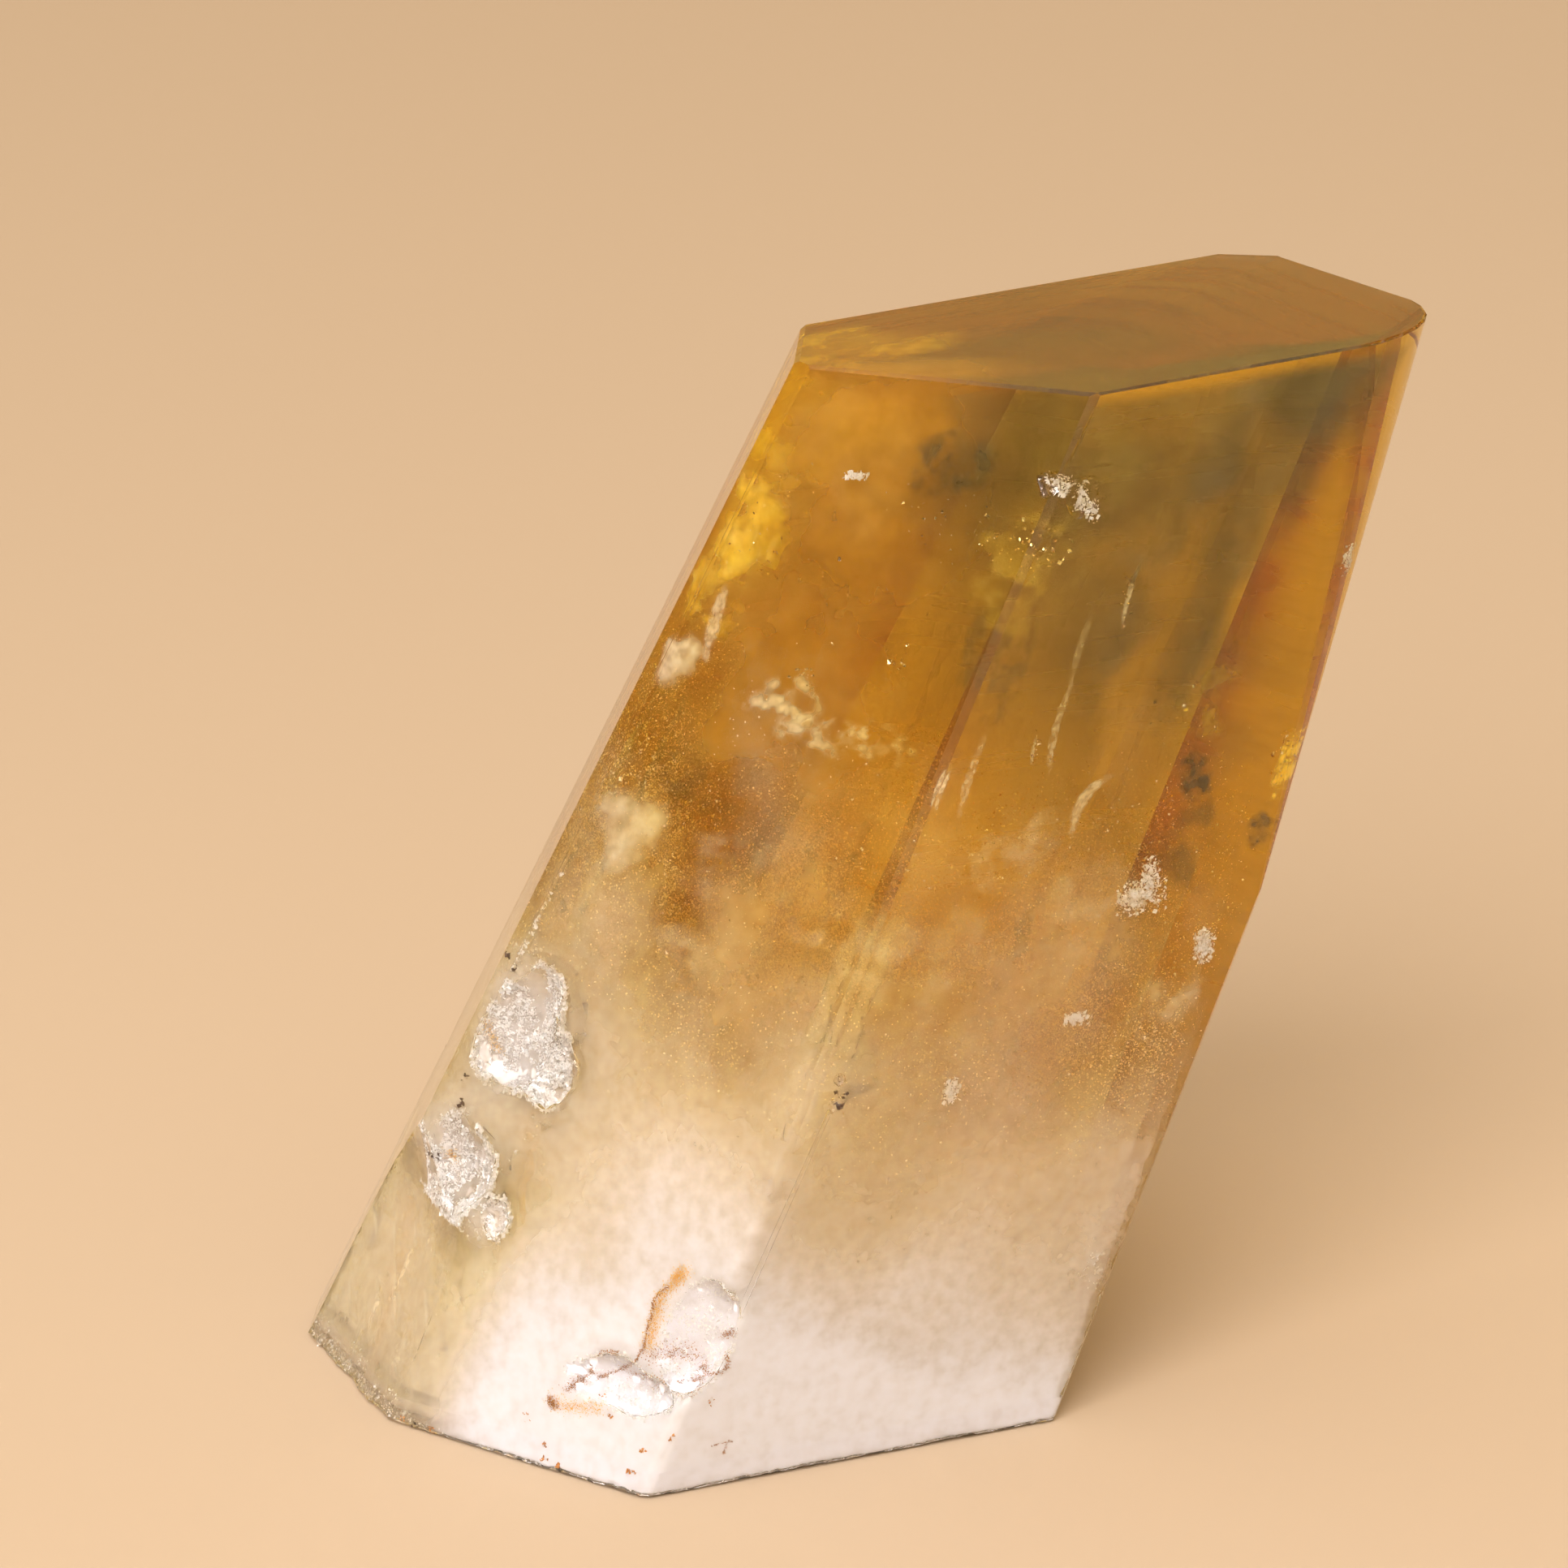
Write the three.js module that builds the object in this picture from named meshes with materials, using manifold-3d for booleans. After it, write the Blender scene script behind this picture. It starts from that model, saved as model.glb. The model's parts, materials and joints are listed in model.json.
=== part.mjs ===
// Citrine crystal point: one leaning six-sided quartz prism with a flat ground top, a rough broken
// foot, one long splintered edge and a few chips. Millimetres, +Z up, the crystal's front faces -Y.
import * as THREE from "three";
import { ConvexGeometry } from "three/addons/geometries/ConvexGeometry.js";
import { mergeVertices } from "three/addons/utils/BufferGeometryUtils.js";
import Module from "manifold-3d";

// Driving dimensions
// While it is built, the crystal's front foot corner is near the origin. Each flat face has the
// compass angle and the upward tilt of its outward normal, in degrees, and its distance in mm.
const PRISM_FACES = {
  left: { compass: 176.8, tilt: 25.3, distance: 34.4 },
  frontLeft: { compass: -127.0, tilt: 14.0, distance: 1.2 },
  frontRight: { compass: -64.4, tilt: -8.4, distance: 1.3 },
  right: { compass: 24.9, tilt: -17.7, distance: 43.0 },
  backRight: { compass: 64.9, tilt: -5.6, distance: 65.3 },
  backLeft: { compass: 115.4, tilt: 16.2, distance: 57.2 },
};
const GROUND_TOP = { compass: 160.5, tilt: 85.7, distance: 108.6 };
// The upper right edge is worn round: sharp up to a height, then rounder all the way to the top.
const WORN_EDGE = { startHeight: 54, topHeight: 114, topRadius: 15, planes: 7 };
const FOOT = { compass: 0, tilt: -90, distance: 0 };

// Every edge is rubbed to a narrow facet. These are the depths that have gone from the sharp edges.
const EDGE_RUB = 0.3;
const TOP_EDGE_RUB = 0.2;
const LEFT_EDGE_RUB = 0.8;

// The splinter that broke off the lower left edge: its plane, and a spot in the middle of the scar.
const SPLINTER = { compass: -156.8, tilt: 21.0, distance: 15.8 };
const SPLINTER_MIDDLE = [-29, 29, 5];
const SPLINTER_WIDTH = 60;
const SPLINTER_LENGTH = 58;
const SPLINTER_DEPTH = 30;
const SPLINTER_RIDGE = 0.8;
const SPLINTER_RUNOUT = { length: 16, depth: 9 };
const SPLINTER_STEPS = [20, 20];

// The broken foot: a flat patch to rest on, with a rough margin that rises towards the outside.
const FOOT_MARGIN = 4.5;
const FOOT_RISE = 0.35;
const FOOT_BACK_RISE = 2.2;
const FOOT_CLEARANCE = 0.6;
const FOOT_STEPS = [54, 42];
const FOOT_SPAN = { x: [-48, 54], y: [-10, 80], depth: 12 };

// Chips and hollows: centre, half sizes, lean towards +X and turn about Z in degrees, and roughness.
const CHIPS = {
  upperScar: { at: [-12.8, 20.6, 42.0], half: [4.6, 2.9, 7.4], lean: 25, turn: -25, rough: 0.15 },
  upperScarLobe: { at: [-9.4, 17.4, 38.4], half: [3.4, 1.9, 4.2], lean: 10, turn: -37, rough: 0.18 },
  lowerScar: { at: [-20.4, 20.2, 27.0], half: [5.4, 4.0, 6.4], lean: 25, turn: -25, rough: 0.15 },
  smallScar: { at: [-15.2, 16.6, 23.0], half: [1.7, 1.2, 2.1], lean: 0, turn: -37, rough: 0.14 },
  topChipLeft: { at: [38.4, 0.5, 103.3], half: [2.1, 1.5, 1.8], lean: 0, turn: -35, rough: 0.12 },
  topChipRight: { at: [42.6, 1.2, 101.0], half: [2.6, 1.5, 3.1], lean: 20, turn: 25, rough: 0.12 },
  edgeNick: { at: [71.4, 17.6, 94.0], half: [1.7, 2.2, 2.2], lean: 15, turn: 0, rough: 0.14 },
  upperPit: { at: [19.3, 0.7, 43.3], half: [0.5, 0.7, 0.6], lean: 0, turn: 20, rough: 0.16 },
  lowerPit: { at: [19.0, 0.5, 40.6], half: [0.7, 0.8, 0.9], lean: 0, turn: 20, rough: 0.16 },
  recess: { at: [4.2, -0.9, 17.4], half: [5.8, 3.0, 6.6], lean: 15, turn: -10, rough: 0.14 },
  recessFoot: { at: [-3.6, 3.0, 10.6], half: [8.2, 2.6, 2.9], lean: 0, turn: -37, rough: 0.18 },
  rightFootChip: { at: [46.6, 18.0, 13.0], half: [1.2, 1.2, 3.0], lean: 19, turn: 0, rough: 0.14 },
  backFootChip: { at: [7.0, 70.8, 5.0], half: [9.0, 4.8, 7.0], lean: 10, turn: 20, rough: 0.14 },
  backEdgeChip: { at: [39.0, 63.8, 62.0], half: [2.6, 2.4, 3.6], lean: 25, turn: 0, rough: 0.12 },
  leftEdgeChip: { at: [-20.0, 47.0, 33.0], half: [2.0, 2.4, 4.2], lean: 25, turn: 20, rough: 0.14 },
};
const CHIP_DETAIL = 3;

const CITRINE = { color: 0xc8861c, roughness: 0.08, metalness: 0 };

const wasm = await Module();
wasm.setup();

// Outward unit normal of a face.
function normalOf(face) {
  const compass = THREE.MathUtils.degToRad(face.compass);
  const tilt = THREE.MathUtils.degToRad(face.tilt);
  const level = Math.cos(tilt);
  return new THREE.Vector3(level * Math.cos(compass), level * Math.sin(compass), Math.sin(tilt));
}

function planeOf(face) {
  return new THREE.Plane(normalOf(face), -face.distance);
}

// The point where three planes meet, or null where two of them are parallel.
function meetingPoint(a, b, c) {
  const across = new THREE.Vector3().crossVectors(b.normal, c.normal);
  const spread = a.normal.dot(across);
  if (Math.abs(spread) < 1e-6) return null;
  const point = across.multiplyScalar(-a.constant);
  point.addScaledVector(new THREE.Vector3().crossVectors(c.normal, a.normal), -b.constant);
  point.addScaledVector(new THREE.Vector3().crossVectors(a.normal, b.normal), -c.constant);
  return point.divideScalar(spread);
}

// The closed body that lies behind all of the given planes.
function bodyBehind(planes) {
  const corners = [];
  for (let i = 0; i < planes.length; i++) {
    for (let j = i + 1; j < planes.length; j++) {
      for (let k = j + 1; k < planes.length; k++) {
        const point = meetingPoint(planes[i], planes[j], planes[k]);
        if (point && planes.every((plane) => plane.distanceToPoint(point) < 1e-4)) corners.push(point);
      }
    }
  }
  return new ConvexGeometry(corners);
}

// A three.js geometry as a solid that can be cut.
function solidOf(geometry) {
  const bare = geometry.clone();
  bare.deleteAttribute("normal");
  bare.deleteAttribute("uv");
  const merged = mergeVertices(bare, 1e-4);
  const vertProperties = merged.attributes.position.array;
  const triVerts = new Uint32Array(merged.index.array);
  return new wasm.Manifold(new wasm.Mesh({ numProp: 3, vertProperties, triVerts }));
}

// A cut solid back as a three.js geometry.
function geometryOf(solid) {
  const mesh = solid.getMesh();
  const geometry = new THREE.BufferGeometry();
  geometry.setAttribute("position", new THREE.BufferAttribute(mesh.vertProperties, 3));
  geometry.setIndex(new THREE.BufferAttribute(mesh.triVerts, 1));
  geometry.computeVertexNormals();
  return geometry;
}

// Repeatable value from -1 to 1 for a whole-numbered point in space.
function latticeValue(i, j, k) {
  const wave = Math.sin(i * 127.1 + j * 311.7 + k * 74.7) * 43758.5453;
  return 2 * (wave - Math.floor(wave)) - 1;
}

// Smooth noise from -1 to 1.
function noise(x, y, z) {
  const base = [x, y, z].map(Math.floor);
  const [u, v, w] = [x, y, z].map((value, axis) => THREE.MathUtils.smootherstep(value - base[axis], 0, 1));
  const { lerp } = THREE.MathUtils;
  const along = (j, k) => {
    const start = latticeValue(base[0], base[1] + j, base[2] + k);
    return lerp(start, latticeValue(base[0] + 1, base[1] + j, base[2] + k), u);
  };
  return lerp(lerp(along(0, 0), along(1, 0), v), lerp(along(0, 1), along(1, 1), v), w);
}

// Moves every vertex of a geometry by a rule that changes it in place.
function reshape(geometry, rule) {
  const places = geometry.attributes.position;
  const vertex = new THREE.Vector3();
  for (let i = 0; i < places.count; i++) {
    rule(vertex.fromBufferAttribute(places, i));
    places.setXYZ(i, vertex.x, vertex.y, vertex.z);
  }
  return geometry;
}

// The planes that round the worn edge. They all pass through the spot where the wear begins, and
// they touch a circle at the top that the two faces beside the edge touch as well.
function wornEdgePlanes() {
  const { frontRight, right } = PRISM_FACES;
  const level = (height) => new THREE.Plane(new THREE.Vector3(0, 0, 1), -height);
  const edgeAt = (height) => meetingPoint(planeOf(frontRight), planeOf(right), level(height));
  const start = edgeAt(WORN_EDGE.startHeight);
  const opening = THREE.MathUtils.degToRad(right.compass - frontRight.compass) / 2;
  const middle = THREE.MathUtils.degToRad((right.compass + frontRight.compass) / 2);
  const inwards = WORN_EDGE.topRadius / Math.cos(opening);
  const centre = edgeAt(WORN_EDGE.topHeight);
  centre.add(new THREE.Vector3(-inwards * Math.cos(middle), -inwards * Math.sin(middle), 0));
  return Array.from({ length: WORN_EDGE.planes }, (_, i) => {
    const angle = middle + opening * ((2 * (i + 1)) / (WORN_EDGE.planes + 1) - 1);
    const away = new THREE.Vector3(Math.cos(angle), Math.sin(angle), 0);
    const touch = centre.clone().addScaledVector(away, WORN_EDGE.topRadius);
    const sideways = new THREE.Vector3(-away.y, away.x, 0);
    const outward = sideways.cross(touch.sub(start)).normalize();
    return new THREE.Plane().setFromNormalAndCoplanarPoint(outward, start);
  });
}

// The narrow facet along the edge where two planes meet.
function rubbedEdge(a, b, depth) {
  const normal = a.normal.clone().add(b.normal).normalize();
  const sharp = meetingPoint(a, b, planeOf(FOOT));
  return new THREE.Plane().setFromNormalAndCoplanarPoint(normal, sharp.addScaledVector(normal, -depth));
}

// The facets between neighbouring side faces, and between each side and the ground top.
function rubbedEdgePlanes(worn) {
  const sides = Object.values(PRISM_FACES).map(planeOf);
  const top = planeOf(GROUND_TOP);
  const upright = sides.map((side, i) => {
    const next = sides[(i + 1) % sides.length];
    return rubbedEdge(side, next, i === 0 ? LEFT_EDGE_RUB : EDGE_RUB);
  });
  return upright.concat([...sides, ...worn].map((side) => rubbedEdge(side, top, TOP_EDGE_RUB)));
}

// What is missing under the foot: a slab whose top follows the broken surface.
function footBreak() {
  const sizeX = FOOT_SPAN.x[1] - FOOT_SPAN.x[0];
  const sizeY = FOOT_SPAN.y[1] - FOOT_SPAN.y[0];
  const sides = Object.values(PRISM_FACES).concat(SPLINTER).map(planeOf);
  const slab = new THREE.BoxGeometry(sizeX, sizeY, FOOT_SPAN.depth, ...FOOT_STEPS, 1);
  slab.translate(FOOT_SPAN.x[0] + sizeX / 2, FOOT_SPAN.y[0] + sizeY / 2, -FOOT_SPAN.depth / 2);
  return reshape(slab, (vertex) => {
    if (vertex.z < -0.5) return;
    const inside = Math.min(...sides.map((side) => -side.distanceToPoint(vertex)));
    const coarse = noise(vertex.x / 11, vertex.y / 11, 3.5);
    const fine = noise(vertex.x / 3.7, vertex.y / 3.7, 8.5);
    const margin = FOOT_MARGIN * (1 + 0.5 * coarse);
    const behind = THREE.MathUtils.smoothstep(vertex.y, 36, 64);
    const rise = FOOT_RISE * (1 + 0.6 * fine) + FOOT_BACK_RISE * behind * (1 + 0.5 * coarse);
    const share = THREE.MathUtils.clamp((margin - inside) / margin, -1, 1.3);
    vertex.z = share > 0 ? rise * share : share * FOOT_CLEARANCE;
  });
}

// What is missing at the splintered edge: a block whose inner side has ridges along the crystal.
function splinterBreak() {
  const outward = normalOf(SPLINTER);
  const across = new THREE.Vector3(0, 0, 1).cross(outward).normalize();
  const along = new THREE.Vector3().crossVectors(outward, across);
  const block = new THREE.BoxGeometry(SPLINTER_WIDTH, SPLINTER_LENGTH, SPLINTER_DEPTH, ...SPLINTER_STEPS, 1);
  reshape(block, (vertex) => {
    if (vertex.z > 0) return;
    const ridge = noise(vertex.x / 3.4, vertex.y / 21, 1.5) + 0.5 * noise(vertex.x / 1.9, vertex.y / 9, 6.5);
    const left = (SPLINTER_LENGTH / 2 - vertex.y) / SPLINTER_RUNOUT.length;
    const runout = THREE.MathUtils.clamp(1 - left, 0, 1) ** 2;
    vertex.z += SPLINTER_RUNOUT.depth * runout - SPLINTER_RIDGE * ridge;
  });
  block.translate(0, 0, SPLINTER_DEPTH / 2);
  const turn = new THREE.Matrix4().makeBasis(across, along, outward);
  const middle = planeOf(SPLINTER).projectPoint(new THREE.Vector3(...SPLINTER_MIDDLE), new THREE.Vector3());
  turn.setPosition(middle);
  return block.applyMatrix4(turn);
}

// What is missing at one chip: a lumpy ball, so the scar is a shallow bowl with broken ripples.
function chipBreak(chip, index) {
  const ball = new THREE.IcosahedronGeometry(1, CHIP_DETAIL);
  reshape(ball, (vertex) => {
    const lump = noise(vertex.x * 1.7 + index * 5.3, vertex.y * 1.7, vertex.z * 1.7);
    const ripple = noise(vertex.x * 4.1, vertex.y * 4.1 + index * 3.1, vertex.z * 4.1);
    vertex.multiplyScalar(1 + chip.rough * (lump + 0.6 * ripple));
  });
  ball.scale(...chip.half);
  ball.rotateY(THREE.MathUtils.degToRad(chip.lean));
  ball.rotateZ(THREE.MathUtils.degToRad(chip.turn));
  return ball.translate(...chip.at);
}

// The whole crystal, moved so that the middle of its box's bottom is at the origin.
function crystalGeometry() {
  const faces = [...Object.values(PRISM_FACES), GROUND_TOP, FOOT].map(planeOf);
  const worn = wornEdgePlanes();
  let solid = solidOf(bodyBehind([...faces, ...worn, ...rubbedEdgePlanes(worn)]));
  const breaks = [footBreak(), splinterBreak(), ...Object.values(CHIPS).map(chipBreak)];
  for (const missing of breaks) solid = solid.subtract(solidOf(missing));
  const geometry = geometryOf(solid);
  geometry.computeBoundingBox();
  const middle = geometry.boundingBox.getCenter(new THREE.Vector3());
  return geometry.translate(-middle.x, -middle.y, -geometry.boundingBox.min.z);
}

const crystal = new THREE.Mesh(crystalGeometry(), new THREE.MeshStandardMaterial(CITRINE));
crystal.name = "crystal";

const point = new THREE.Group();
point.add(crystal);

export default point;
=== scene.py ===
# %% [markdown]
# # A citrine crystal point
# Citrine is yellow quartz. This crystal is one solid piece: clear and golden above, milky white at the broken
# foot, with a flat ground top, chipped edges and a little rust in a hollow. The lesson starts from the
# imported solid, gives it a clear body, and then puts into that body what the eye sees there: milk, grains,
# veils and cracks, and sheets of painted glow, painted reflection and painted shade that stand in for the
# light and shade seen through the faces.

# %% Load the solid
import json
import math

import bmesh
import bpy
import numpy as np
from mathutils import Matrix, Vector
from mathutils.bvhtree import BVHTree

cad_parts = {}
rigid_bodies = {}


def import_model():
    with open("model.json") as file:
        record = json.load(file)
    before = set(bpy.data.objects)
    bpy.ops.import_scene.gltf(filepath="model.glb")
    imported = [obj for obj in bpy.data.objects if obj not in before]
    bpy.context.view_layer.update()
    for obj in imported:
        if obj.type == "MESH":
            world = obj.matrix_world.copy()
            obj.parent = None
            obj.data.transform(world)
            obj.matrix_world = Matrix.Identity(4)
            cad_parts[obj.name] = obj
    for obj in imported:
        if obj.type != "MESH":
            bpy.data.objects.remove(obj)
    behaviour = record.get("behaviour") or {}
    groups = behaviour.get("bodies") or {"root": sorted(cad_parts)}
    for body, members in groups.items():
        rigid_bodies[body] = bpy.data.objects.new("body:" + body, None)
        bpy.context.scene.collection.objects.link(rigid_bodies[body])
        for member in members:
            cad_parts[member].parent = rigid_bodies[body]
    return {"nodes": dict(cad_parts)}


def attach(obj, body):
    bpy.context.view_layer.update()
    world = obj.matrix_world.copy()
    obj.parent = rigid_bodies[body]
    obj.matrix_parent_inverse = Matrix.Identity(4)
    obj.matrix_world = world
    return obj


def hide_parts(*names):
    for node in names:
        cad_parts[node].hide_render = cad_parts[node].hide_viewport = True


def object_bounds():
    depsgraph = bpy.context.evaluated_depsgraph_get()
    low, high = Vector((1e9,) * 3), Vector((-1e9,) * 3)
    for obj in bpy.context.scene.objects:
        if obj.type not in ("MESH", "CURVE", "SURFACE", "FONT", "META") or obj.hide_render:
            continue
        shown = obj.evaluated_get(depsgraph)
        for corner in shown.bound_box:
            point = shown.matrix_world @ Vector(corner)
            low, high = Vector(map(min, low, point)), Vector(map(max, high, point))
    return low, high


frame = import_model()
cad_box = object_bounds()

MM = 0.001
cad = frame["nodes"]["crystal"]
print("solid:", cad.name, len(cad.data.vertices), "vertices")

# %% [markdown]
# ## The camera
# A long lens looks down at the crystal by 18 degrees. The photograph is square, so one focal length
# in pixels gives both the lens and the ray that runs through any spot of the picture. The rays are
# used later to put each inclusion behind the spot where it is seen.

# %% The camera
PHOTO_SIDE = 1932
FOCAL_PIXELS = 8947
CAMERA_TILT = math.radians(18)
CAMERA_PLACE = Vector((-6.47, -692.47, 287.83)) * MM

camera = bpy.data.objects.new("camera", bpy.data.cameras.new("camera"))
camera.location = CAMERA_PLACE
camera.rotation_euler = (math.pi / 2 - CAMERA_TILT, 0, 0)
camera.data.lens = camera.data.sensor_width * FOCAL_PIXELS / PHOTO_SIDE
camera.data.clip_start = 0.01
camera.data.dof.use_dof = False
bpy.context.collection.objects.link(camera)
bpy.context.scene.camera = camera
print("lens:", round(camera.data.lens, 1), "mm")


def photo_ray(u, v):
    """The direction that runs from the camera through a spot of the photograph, in its pixels."""
    ahead = Vector((0, math.cos(CAMERA_TILT), -math.sin(CAMERA_TILT)))
    up = Vector((0, math.sin(CAMERA_TILT), math.cos(CAMERA_TILT)))
    side = Vector((1, 0, 0))
    across = (u - PHOTO_SIDE / 2) / FOCAL_PIXELS
    down = (v - PHOTO_SIDE / 2) / FOCAL_PIXELS
    return (ahead + side * across - up * down).normalized()


# %% [markdown]
# ## The crystal's body
# The solid already has the flat faces, the rubbed edges, the broken foot and the chips. The body is
# a copy of it. Flat faces stay perfectly flat, because any wave in them would bend what is seen
# through them. Broken surfaces are cut finer and given small steps, because broken quartz is never
# smooth. Every face whose plane covers a large area counts as flat, and all others as broken.

# %% Copy the solid and sort its faces
FLAT_AREA = 8 * MM * MM
LARGE_AREA = 400 * MM * MM

shape = bmesh.new()
shape.from_mesh(cad.data)
bmesh.ops.remove_doubles(shape, verts=shape.verts, dist=1e-6)
shape.normal_update()
frost_layer = shape.faces.layers.int.new("frost")


def plane_key(face):
    """Faces of one plane share this key."""
    distance = face.normal.dot(face.calc_center_median())
    return (*(round(c * 50) for c in face.normal), round(distance / (0.2 * MM)))


plane_area = {}
for face in shape.faces:
    key = plane_key(face)
    plane_area[key] = plane_area.get(key, 0) + face.calc_area()
for face in shape.faces:
    face[frost_layer] = 1 if plane_area[plane_key(face)] < FLAT_AREA else 0
print("faces:", len(shape.faces), "of which broken:", sum(f[frost_layer] for f in shape.faces))

# %% Cut the broken faces finer
LONGEST_EDGE = 0.55 * MM
for _ in range(3):
    long_edges = [
        edge
        for edge in shape.edges
        if edge.calc_length() > LONGEST_EDGE and all(face[frost_layer] for face in edge.link_faces)
    ]
    bmesh.ops.subdivide_edges(shape, edges=long_edges, cuts=1, use_grid_fill=False)
    rough = [face for face in shape.faces if face[frost_layer] and len(face.verts) > 3]
    bmesh.ops.triangulate(shape, faces=rough)
print("faces after cutting:", len(shape.faces))

# %% [markdown]
# ## Noise that is the same every time
# Nature is uneven at every size. A lattice of fixed values, blended smoothly, gives an unevenness
# that comes out alike on every run. Adding it to itself at half the size, a few times over, gives
# clouds.

# %% Noise
def lattice_value(corner):
    """A fixed value from 0 to 1 for every whole-numbered point."""
    wave = np.sin(corner @ np.array([127.1, 311.7, 74.7])) * 43758.5453
    return wave - np.floor(wave)


def soft_noise(points, size):
    """Smooth unevenness from 0 to 1, with bumps of about the given size."""
    scaled = np.asarray(points) / size
    base = np.floor(scaled)
    part = scaled - base
    part = part * part * (3 - 2 * part)
    total = np.zeros(len(scaled))
    for corner in np.ndindex(2, 2, 2):
        weight = np.prod(np.where(np.array(corner) == 1, part, 1 - part), axis=1)
        total += weight * lattice_value(base + np.array(corner))
    return total


def cloud_noise(points, size, layers=4):
    """Unevenness from 0 to 1 with ever finer detail."""
    shares = [0.5**n for n in range(layers)]
    parts = [soft_noise(np.asarray(points) + 0.37 * n, size / 2**n) for n in range(layers)]
    return sum(share * part for share, part in zip(shares, parts)) / sum(shares)


def smooth_step(low, high, value):
    """A soft ramp from 0 at the low end to 1 at the high end."""
    share = np.clip((value - low) / (high - low), 0, 1)
    return share * share * (3 - 2 * share)


print("noise along a line:", cloud_noise(np.outer(range(4), (MM, 0, 0)), 2 * MM).round(2))

# %% [markdown]
# Now the cut faces get their small steps. The move is always inwards, so that the crystal never
# grows out of its box, and vertices at the rim of a scar stay on the flat face around it.

# %% Roughen the broken faces
STEP_DEPTH = 0.22 * MM
STEP_SIZE = 0.9 * MM

loose = [v for v in shape.verts if v.link_faces and all(f[frost_layer] for f in v.link_faces)]
shape.normal_update()
places = np.array([v.co for v in loose])
ridges = 1 - np.abs(2 * cloud_noise(places, STEP_SIZE, 3) - 1)
for vertex, ridge in zip(loose, ridges):
    vertex.co -= vertex.normal * (STEP_DEPTH * ridge * ridge)
    vertex.co.z = max(vertex.co.z, 0)
print("roughened vertices:", len(loose))

# %% [markdown]
# The upper right edge is worn round. In the solid it is a fan of narrow flat strips. Normals that
# turn smoothly from strip to strip make it look round, while the large faces keep their own normal
# right up to the edge.

# %% Normals of the worn edge
SOFT_TURN = math.radians(16)

shape.normal_update()
plane_area = {}
for face in shape.faces:
    key = plane_key(face)
    plane_area[key] = plane_area.get(key, 0) + face.calc_area()


def soft_normal(face, vertex):
    """The shading normal of one corner of a worn strip."""
    near = [f for f in vertex.link_faces if f.normal.angle(face.normal) < SOFT_TURN]
    large = [f for f in near if plane_area[plane_key(f)] > LARGE_AREA]
    total = Vector((0, 0, 0))
    for other in large or near:
        total += other.normal * other.calc_area()
    return total.normalized()


def corner_normals(face):
    """Large and broken faces are shaded flat, worn strips smoothly."""
    if face[frost_layer] or plane_area[plane_key(face)] > LARGE_AREA:
        return [face.normal.copy()] * len(face.verts)
    return [soft_normal(face, vertex) for vertex in face.verts]


normals = [normal for face in shape.faces for normal in corner_normals(face)]
print("corner normals:", len(normals))

# %% [markdown]
# The material has to know what each place of the surface is: broken, ground flat, or a growth face at
# the back. Three attributes on the mesh tell it. The large planes are kept as numbers, because they
# answer quickly whether a point is outside, and a search tree answers what is nearest.

# %% The body
GROUND_UP = 0.97
BACK_TURN = 0.2

broken_share = [1.0 if all(f[frost_layer] for f in v.link_faces) else 0.0 for v in shape.verts]
ground = [1.0 if f.normal.z > GROUND_UP else 0.0 for f in shape.faces]
grown = [1.0 if f.normal.y > BACK_TURN and not f[frost_layer] else 0.0 for f in shape.faces]
body_mesh = bpy.data.meshes.new("crystal_body")
shape.to_mesh(body_mesh)
body_mesh.attributes.remove(body_mesh.attributes["frost"])
body_mesh.attributes.new("broken", "FLOAT", "POINT").data.foreach_set("value", broken_share)
body_mesh.attributes.new("ground", "FLOAT", "FACE").data.foreach_set("value", ground)
body_mesh.attributes.new("grown", "FLOAT", "FACE").data.foreach_set("value", grown)
body_mesh.shade_smooth()
body_mesh.normals_split_custom_set(normals)
body = bpy.data.objects.new("crystal_body", body_mesh)
bpy.context.collection.objects.link(body)
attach(body, "root")
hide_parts("crystal")
print("crystal_body:", len(body_mesh.polygons), "faces")

# %% Its planes and its search tree
large_faces = {plane_key(f): f for f in shape.faces if plane_area[plane_key(f)] > LARGE_AREA}
large_normals = np.array([f.normal for f in large_faces.values()])
large_distances = np.array([f.normal.dot(f.calc_center_median()) for f in large_faces.values()])
surface = BVHTree.FromBMesh(shape)
print("large planes:", len(large_faces))

# %% [markdown]
# ## Clear citrine
# Clear quartz takes almost no light away at its surface. Its yellow comes from inside: blue light is
# lost on the way through, green a little, red hardly at all, so thick places look deeper in colour
# than thin ones. Plain transmission with the refraction of quartz and a plain absorbing volume do
# the same in a renderer. The ground top has fine parallel scratches, the broken places are frosted,
# the growth faces at the back have level growth lines, and the polished faces have a faint bloom. All
# of these only change how rough the surface is.

# %% A helper for shader nodes
def node(tree, kind, settings=None, **inputs):
    """Adds a shader node. Inputs are given by name, with _ for a blank, as values or as sockets."""
    made = tree.nodes.new(kind)
    for key, value in (settings or {}).items():
        setattr(made, key, value)
    for key, value in inputs.items():
        name = key.replace("_", " ")
        index = int(name[1:]) if name[1:].isdigit() else name
        if isinstance(value, bpy.types.NodeSocket):
            tree.links.new(value, made.inputs[index])
        else:
            made.inputs[index].default_value = value
    return made


def new_material(name):
    """An empty procedural material: its node tree and its output node."""
    material = bpy.data.materials.new(name)
    material.use_nodes = True
    material.node_tree.nodes.clear()
    return material, material.node_tree, node(material.node_tree, "ShaderNodeOutputMaterial")


citrine, tree, output = new_material("citrine_clear")
print("new material:", citrine.name)

# %% How rough each place is
TOP_MATT = 0.20
BROKEN_MATT = 0.14
GROWN_MATT = 0.62

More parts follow.
